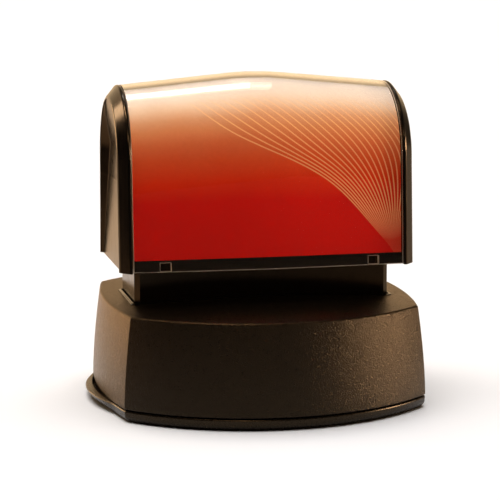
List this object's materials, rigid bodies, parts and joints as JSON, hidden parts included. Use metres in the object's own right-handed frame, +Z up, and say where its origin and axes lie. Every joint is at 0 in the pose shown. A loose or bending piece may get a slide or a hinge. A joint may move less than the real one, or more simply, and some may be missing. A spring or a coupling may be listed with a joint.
{
  "type": "pre-inked hand stamp",
  "caption": "Round-impression pre-inked hand stamp: bowed base housing on a dust cap, sprung plunger with die cassette, and an arched handle whose clear cover holds a label card.",
  "frame": {"origin": "middle of the dust cap's bottom face, which the stamp stands on", "axes": "+Z up; X along the handle's length; the front is -Y"},
  "size_m": [0.07, 0.0706, 0.0664],
  "materials": {
    "housing_plastic": "fine moulded grain, satin black",
    "cap_plastic": "smooth black",
    "handle_plastic": "polished black",
    "core_plastic": "black",
    "clear_plastic": "clear, polished",
    "label_paper": "coated card, printed cream to red",
    "frame_plastic": "dark grey moulded",
    "ink_foam": "open-cell foam soaked with ink",
    "stamp_foam": "microporous foam",
    "spring_steel": "drawn wire",
    "screw_steel": "zinc plated"
  },
  "bodies": {
    "dust_cap": {"dust_cap": "cap_plastic"},
    "base": {"base_housing": "housing_plastic", "slot_collar": "handle_plastic", "inner_frame": "frame_plastic", "frame_screws": "screw_steel", "left_spring": "spring_steel", "right_spring": "spring_steel"},
    "plunger": {"neck": "handle_plastic", "neck_screws": "screw_steel", "handle_plate": "handle_plastic", "handle_core": "core_plastic", "left_cheek": "handle_plastic", "right_cheek": "handle_plastic", "label_card": "label_paper", "die_holder": "frame_plastic", "holder_screws": "screw_steel", "ink_reservoir": "ink_foam", "text_plate": "stamp_foam", "retaining_ring": "frame_plastic"},
    "cover": {"window_cover": "clear_plastic"}
  },
  "joints": [
    {"name": "cap_release", "type": "slide", "parent": "dust_cap", "child": "base", "axis": [0, 0, 1], "range_m": [0, 0.03]},
    {"name": "press", "type": "slide", "parent": "base", "child": "plunger", "axis": [0, 0, -1], "range_m": [0, 0.0046], "stiffness_N_per_m": 1500, "springref_m": -0.004, "deforming": ["left_spring", "right_spring"]},
    {"name": "cover_release", "type": "slide", "parent": "plunger", "child": "cover", "axis": [0, 0, 1], "range_m": [0, 0.045]}
  ]
}
